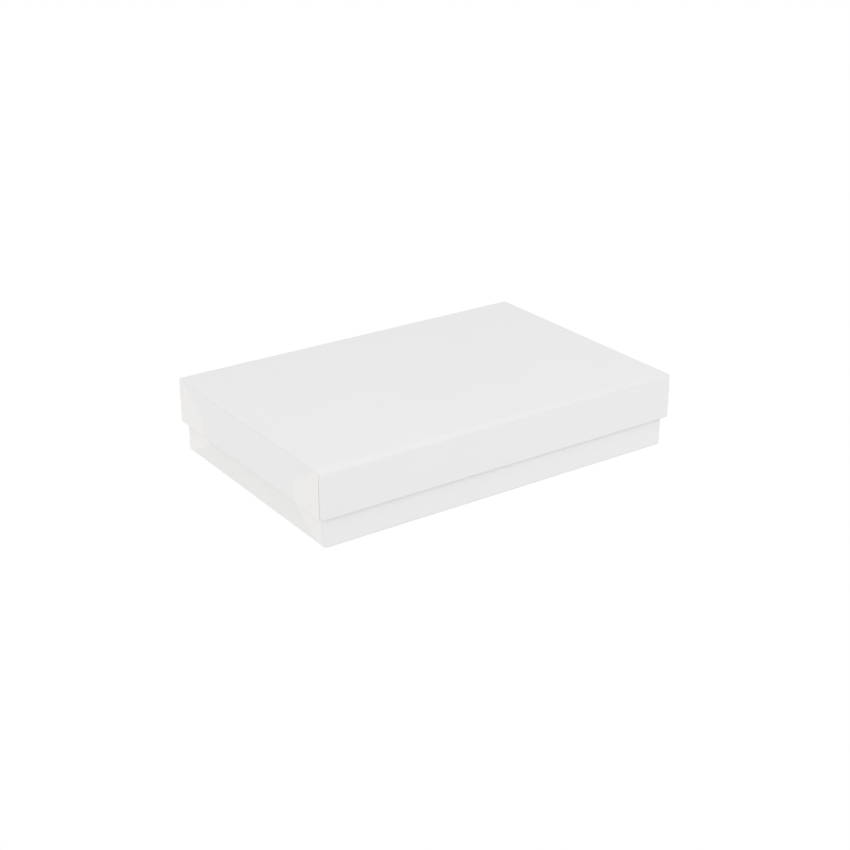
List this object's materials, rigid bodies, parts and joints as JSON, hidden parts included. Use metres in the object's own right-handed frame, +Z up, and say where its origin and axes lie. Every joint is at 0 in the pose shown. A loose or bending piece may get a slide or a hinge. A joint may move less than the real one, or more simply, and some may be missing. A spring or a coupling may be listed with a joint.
{
  "type": "jewelry gift box",
  "caption": "Flat white two-piece rigid paperboard jewelry box with a lift-off lid and a loose cotton pad inside.",
  "frame": {"origin": "centre of the base's underside, on the surface that the box stands on", "axes": "+X along the length, +Y along the width (the end panels with the seams face +X and -X), +Z up towards the lid's top"},
  "size_m": [0.152, 0.101, 0.0285],
  "materials": {
    "white_coated_paper": "satin",
    "white_lining_paper": "matte",
    "grey_chipboard": "matte",
    "stay_tape": "matte",
    "cotton_batting": "matte"
  },
  "bodies": {
    "base": {"base_board": "grey_chipboard", "base_corner_stay_front_left": "stay_tape", "base_corner_stay_front_right": "stay_tape", "base_corner_stay_back_right": "stay_tape", "base_corner_stay_back_left": "stay_tape", "base_cover_paper": "white_coated_paper", "base_lining": "white_lining_paper"},
    "lid": {"lid_board": "grey_chipboard", "lid_corner_stay_front_left": "stay_tape", "lid_corner_stay_front_right": "stay_tape", "lid_corner_stay_back_right": "stay_tape", "lid_corner_stay_back_left": "stay_tape", "lid_cover_paper": "white_coated_paper", "lid_lining": "white_lining_paper"},
    "pad": {"cotton_pad": "cotton_batting"}
  },
  "joints": [
    {"name": "lid_lift", "type": "slide", "parent": "base", "child": "lid", "axis": [0, 0, 1], "range_m": [0, 0.07]},
    {"name": "pad_lift", "type": "slide", "parent": "base", "child": "pad", "axis": [0, 0, 1], "range_m": [0, 0.009]}
  ]
}
